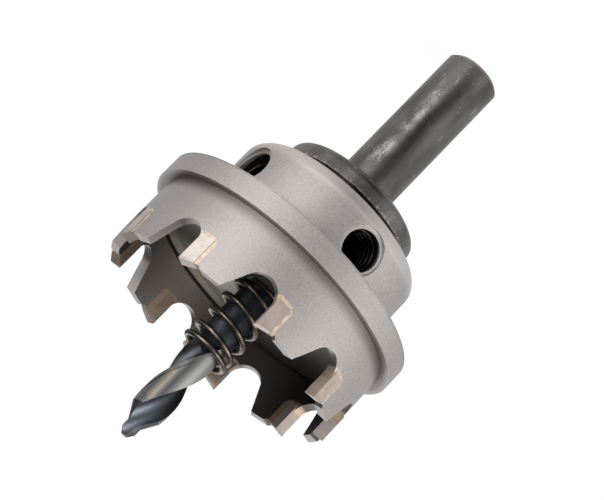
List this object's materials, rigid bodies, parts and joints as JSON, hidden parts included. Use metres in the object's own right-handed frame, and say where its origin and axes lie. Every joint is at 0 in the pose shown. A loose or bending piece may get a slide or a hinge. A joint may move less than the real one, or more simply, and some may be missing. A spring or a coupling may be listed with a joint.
{
  "type": "hole saw",
  "caption": "Carbide-tipped hole saw: a flanged steel cup with brazed teeth, a clamped pilot drill with an ejector spring, and a plain round shank.",
  "frame": {"origin": "centre of the flat end of the shank, which is the centre of the bottom of the bounding box", "axes": "+Z along the tool axis from the shank towards the pilot drill's tip; -Y is the side of the screw that clamps the arbor"},
  "size_m": [0.0492, 0.0492, 0.0846],
  "materials": {
    "body_steel": "bead-blasted, satin",
    "arbor_steel": "turned and blackened, with bright scuffs",
    "drill_steel": "steam-oxidised, ground flutes",
    "spring_steel": "drawn wire",
    "carbide": "ground",
    "braze": "as melted",
    "screw_steel": "black oxide"
  },
  "bodies": {
    "root": {"cutter_body": "body_steel", "arbor": "arbor_steel", "pilot_drill": "drill_steel", "ejector_spring": "spring_steel", "carbide_tip_1": "carbide", "carbide_tip_2": "carbide", "carbide_tip_3": "carbide", "carbide_tip_4": "carbide", "carbide_tip_5": "carbide", "carbide_tip_6": "carbide", "carbide_tip_7": "carbide", "carbide_tip_8": "carbide", "carbide_tip_9": "carbide", "braze_1": "braze", "braze_2": "braze", "braze_3": "braze", "braze_4": "braze", "braze_5": "braze", "braze_6": "braze", "braze_7": "braze", "braze_8": "braze", "braze_9": "braze", "arbor_screw": "screw_steel", "drill_screw": "screw_steel"}
  },
  "joints": []
}
